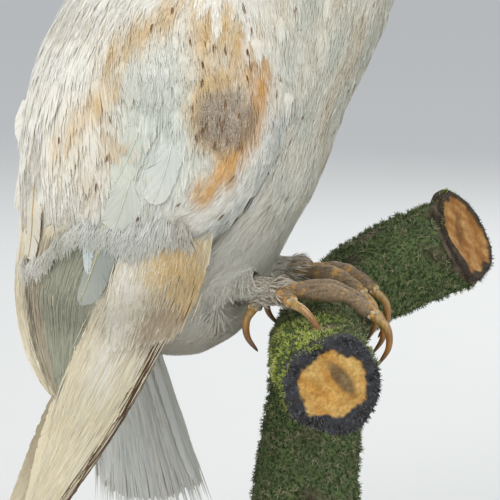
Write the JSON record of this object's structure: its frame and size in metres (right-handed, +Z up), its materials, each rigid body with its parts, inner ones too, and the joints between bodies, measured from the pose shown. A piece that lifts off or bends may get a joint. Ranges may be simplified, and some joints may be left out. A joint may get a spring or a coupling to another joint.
{
  "type": "taxidermy barn owl",
  "caption": "Life-size mounted barn owl perched on the sawn stub of a mossy branch that rises from a round turned wooden base; a still display model.",
  "frame": {"origin": "centre of the underside of the round base", "axes": "+Z up, +X the way the bird faces, +Y the bird's left side"},
  "size_m": [0.2279, 0.212, 0.441],
  "materials": {
    "white_plumage": "soft bleached white body feathers, faintly grey in the folds",
    "buff_plumage": "cream feathers with a golden-buff wash, grey vermiculation and small dark-brown spots",
    "flight_feathers": "cream and pale buff flight feathers with pale shafts and greyish bars",
    "glass_eye": "solid, nearly black brown glass, polished",
    "bill_horn": "pale horn, satin",
    "toe_skin": "dry grey-brown scaly skin with orange-yellow knuckles",
    "claw_horn": "amber-brown horn, satin, darker at the tip",
    "mossy_bark": "dark bark under green moss, with ochre sawn ends",
    "turned_wood": "dark stained hardwood, satin varnish"
  },
  "bodies": {
    "root": {"facial_disc": "white_plumage", "head": "buff_plumage", "bill": "bill_horn", "eye_right": "glass_eye", "eye_left": "glass_eye", "neck": "white_plumage", "trunk": "white_plumage", "wing_right_arm": "buff_plumage", "wing_right_primaries": "flight_feathers", "wing_right_secondaries": "flight_feathers", "wing_right_primary_coverts": "buff_plumage", "wing_left_arm": "buff_plumage", "wing_left_primaries": "flight_feathers", "wing_left_secondaries": "flight_feathers", "wing_left_primary_coverts": "buff_plumage", "tail": "flight_feathers", "leg_right": "white_plumage", "leg_left": "white_plumage", "foot_right": "toe_skin", "foot_left": "toe_skin", "claw_right_inner": "claw_horn", "claw_right_middle": "claw_horn", "claw_right_outer": "claw_horn", "claw_right_hind": "claw_horn", "claw_left_inner": "claw_horn", "claw_left_middle": "claw_horn", "claw_left_outer": "claw_horn", "claw_left_hind": "claw_horn", "perch_branch": "mossy_bark", "stand_base": "turned_wood"}
  },
  "joints": []
}
